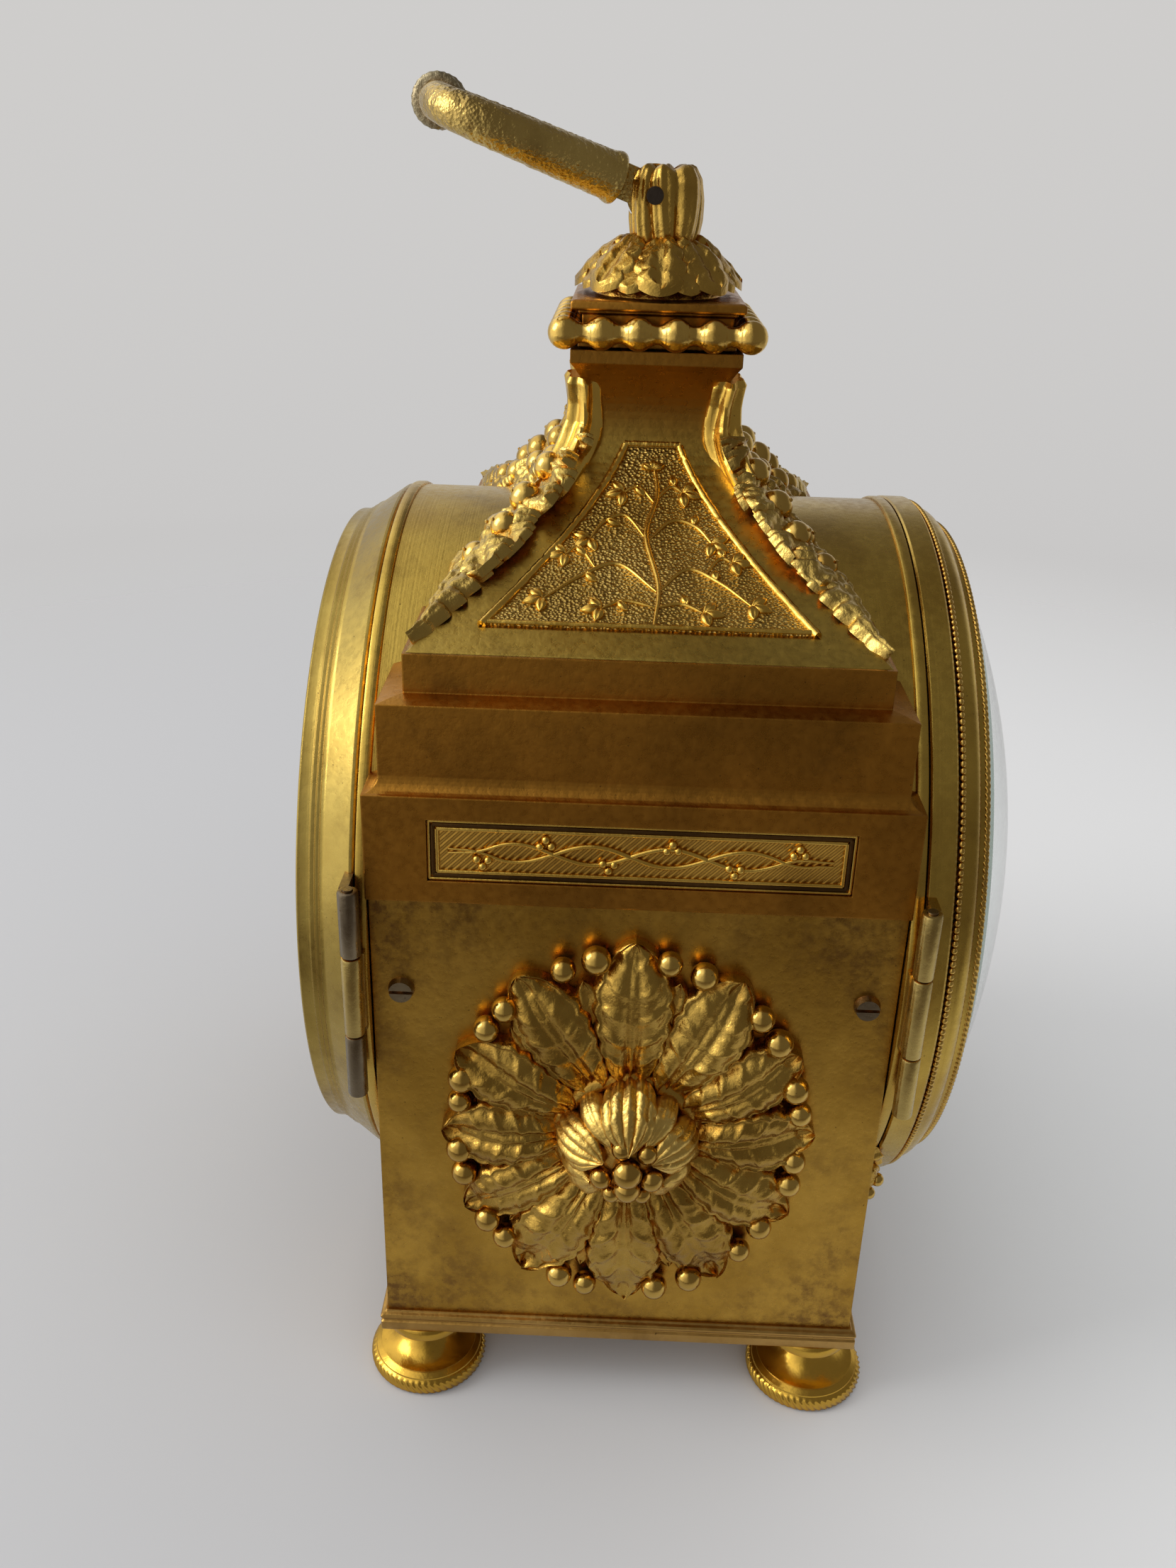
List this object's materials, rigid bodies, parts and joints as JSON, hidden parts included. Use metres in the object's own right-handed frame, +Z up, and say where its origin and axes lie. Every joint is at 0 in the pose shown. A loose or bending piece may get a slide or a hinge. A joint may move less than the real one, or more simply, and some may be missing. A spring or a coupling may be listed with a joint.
{
  "type": "travelling clock",
  "caption": "Gilt travelling clock with a round drum case, hinged glazed doors front and back, leaf and garland mounts and a hinged carrying handle.",
  "frame": {"origin": "on the ground under the middle of the case, between the feet", "axes": "+Z up, -Y out of the dial, +X to the right as the dial is seen"},
  "size_m": [0.1348, 0.1072, 0.1889],
  "materials": {
    "base_plate": "gilt, worn",
    "foot_front_left": "gilt, worn",
    "foot_front_right": "gilt, worn",
    "foot_back_left": "gilt, worn",
    "foot_back_right": "gilt, worn",
    "side_panel_left": "gilt, worn",
    "side_panel_right": "gilt, worn",
    "panel_screws": "dark",
    "front_panel": "gilt, worn",
    "back_panel": "gilt, worn",
    "entablature_left": "gilt, worn",
    "entablature_right": "gilt, worn",
    "roof": "gilt, worn",
    "bead_frame": "gilt, worn",
    "top_plate": "gilt, worn",
    "leaf_collar": "gilt, worn",
    "handle_knuckle": "gilt, worn",
    "tie_rod": "dark",
    "handle_pin": "dark",
    "rosette_left": "gilt, worn",
    "rosette_right": "gilt, worn",
    "bud_left": "gilt, worn",
    "bud_right": "gilt, worn",
    "garland_front": "matt gilt",
    "garland_back": "matt gilt",
    "front_mount": "gilt, worn",
    "drum_barrel": "gilt, worn",
    "front_flange": "gilt, worn",
    "back_flange": "gilt, worn",
    "case_hinge_leaves": "dull",
    "hinge_pins": "dark",
    "dial": "enamel",
    "movement_front_plate": "gilt, worn",
    "movement_back_plate": "gilt, worn",
    "pillars": "gilt, worn",
    "click": "polished",
    "platform": "gilt, worn",
    "front_bezel": "gilt, worn",
    "front_glass": "clear",
    "front_hinge_leaf": "dull",
    "back_door": "matt",
    "back_glass": "clear",
    "back_hinge_leaf": "dull",
    "handle_bail": "gilt, worn",
    "handle_collar": "gilt, worn",
    "handle_hub": "gilt, worn",
    "minute_hand": "blued",
    "cannon_pinion": "polished",
    "hour_hand": "blued",
    "hour_wheel": "gilt, worn",
    "minute_wheel": "gilt, worn",
    "going_barrel": "gilt, worn",
    "mainspring": "polished",
    "winding_arbor": "polished",
    "centre_wheel": "gilt, worn",
    "third_wheel": "gilt, worn",
    "fourth_wheel": "gilt, worn",
    "escape_wheel": "gilt, worn",
    "lever": "polished",
    "balance_wheel": "gilt, worn"
  },
  "bodies": {
    "case": {"base_plate": "base_plate", "foot_front_left": "foot_front_left", "foot_front_right": "foot_front_right", "foot_back_left": "foot_back_left", "foot_back_right": "foot_back_right", "side_panel_left": "side_panel_left", "side_panel_right": "side_panel_right", "panel_screws": "panel_screws", "front_panel": "front_panel", "back_panel": "back_panel", "entablature_left": "entablature_left", "entablature_right": "entablature_right", "roof": "roof", "bead_frame": "bead_frame", "top_plate": "top_plate", "leaf_collar": "leaf_collar", "handle_knuckle": "handle_knuckle", "tie_rod": "tie_rod", "handle_pin": "handle_pin", "rosette_left": "rosette_left", "rosette_right": "rosette_right", "bud_left": "bud_left", "bud_right": "bud_right", "garland_front": "garland_front", "garland_back": "garland_back", "front_mount": "front_mount", "drum_barrel": "drum_barrel", "front_flange": "front_flange", "back_flange": "back_flange", "case_hinge_leaves": "case_hinge_leaves", "hinge_pins": "hinge_pins", "dial": "dial", "movement_front_plate": "movement_front_plate", "movement_back_plate": "movement_back_plate", "pillars": "pillars", "click": "click", "platform": "platform"},
    "front_door": {"front_bezel": "front_bezel", "front_glass": "front_glass", "front_hinge_leaf": "front_hinge_leaf"},
    "rear_door": {"back_door": "back_door", "back_glass": "back_glass", "back_hinge_leaf": "back_hinge_leaf"},
    "handle": {"handle_bail": "handle_bail", "handle_collar": "handle_collar", "handle_hub": "handle_hub"},
    "minute_hand_body": {"minute_hand": "minute_hand", "cannon_pinion": "cannon_pinion"},
    "hour_hand_body": {"hour_hand": "hour_hand", "hour_wheel": "hour_wheel"},
    "minute_wheel_body": {"minute_wheel": "minute_wheel"},
    "barrel_body": {"going_barrel": "going_barrel", "mainspring": "mainspring"},
    "winder_body": {"winding_arbor": "winding_arbor"},
    "centre_body": {"centre_wheel": "centre_wheel"},
    "third_body": {"third_wheel": "third_wheel"},
    "fourth_body": {"fourth_wheel": "fourth_wheel"},
    "escape_body": {"escape_wheel": "escape_wheel"},
    "lever_body": {"lever": "lever"},
    "balance_body": {"balance_wheel": "balance_wheel"}
  },
  "joints": [
    {"name": "front_bezel_hinge", "type": "hinge", "parent": "case", "child": "front_door", "pos_m": [-0.058, -0.03798, 0.0754], "axis": [0, 0, -1], "range_deg": [0, 110]},
    {"name": "back_door_hinge", "type": "hinge", "parent": "case", "child": "rear_door", "pos_m": [-0.058, 0.03798, 0.0754], "axis": [0, 0, 1], "range_deg": [0, 110]},
    {"name": "handle_pivot", "type": "hinge", "parent": "case", "child": "handle", "pos_m": [0, 0.0011, 0.1741], "axis": [1, 0, 0], "range_deg": [0, 80]},
    {"name": "minute_hand_turn", "type": "hinge", "parent": "case", "child": "minute_hand_body", "pos_m": [0, -0.03, 0.0744], "axis": [0, 1, 0], "continuous": true},
    {"name": "hour_hand_turn", "type": "hinge", "parent": "case", "child": "hour_hand_body", "pos_m": [0, -0.03, 0.0744], "axis": [0, 1, 0], "continuous": true},
    {"name": "minute_wheel_turn", "type": "hinge", "parent": "case", "child": "minute_wheel_body", "pos_m": [0, -0.024, 0.0624], "axis": [0, 1, 0], "continuous": true},
    {"name": "fourth_wheel_turn", "type": "hinge", "parent": "case", "child": "fourth_body", "pos_m": [0.00001, -0.005, 0.09683], "axis": [0, 1, 0], "continuous": true},
    {"name": "third_wheel_turn", "type": "hinge", "parent": "case", "child": "third_body", "pos_m": [0.00717, -0.005, 0.08683], "axis": [0, 1, 0], "continuous": true},
    {"name": "centre_wheel_turn", "type": "hinge", "parent": "case", "child": "centre_body", "pos_m": [0, -0.005, 0.0744], "axis": [0, 1, 0], "continuous": true},
    {"name": "barrel_turn", "type": "hinge", "parent": "case", "child": "barrel_body", "pos_m": [0.01691, -0.001, 0.06824], "axis": [0, 1, 0], "continuous": true},
    {"name": "escape_wheel_turn", "type": "hinge", "parent": "case", "child": "escape_body", "pos_m": [-0.00908, 0, 0.10208], "axis": [0, 1, 0], "continuous": true},
    {"name": "winding_arbor_turn", "type": "hinge", "parent": "case", "child": "winder_body", "pos_m": [0.01691, -0.02, 0.06824], "axis": [0, 1, 0], "continuous": true},
    {"name": "balance_swing", "type": "hinge", "parent": "case", "child": "balance_body", "pos_m": [0.00352, 0.015, 0.09838], "axis": [0, 1, 0], "range_deg": [-150, 150], "stiffness_Nm_per_rad": 0.000002},
    {"name": "lever_swing", "type": "hinge", "parent": "case", "child": "lever_body", "pos_m": [-0.00278, 0.012, 0.10023], "axis": [0, 1, 0], "range_deg": [-6, 6]}
  ],
  "couplings": [
    {"joint": "hour_hand_turn", "follows": "minute_hand_turn", "ratio": 0.083333},
    {"joint": "minute_wheel_turn", "follows": "minute_hand_turn", "ratio": -0.33333},
    {"joint": "third_wheel_turn", "follows": "fourth_wheel_turn", "ratio": -0.13889},
    {"joint": "centre_wheel_turn", "follows": "fourth_wheel_turn", "ratio": 0.01929},
    {"joint": "barrel_turn", "follows": "fourth_wheel_turn", "ratio": -0.0024113},
    {"joint": "escape_wheel_turn", "follows": "fourth_wheel_turn", "ratio": -6},
    {"joint": "lever_swing", "follows": "balance_swing", "ratio": -0.04}
  ]
}
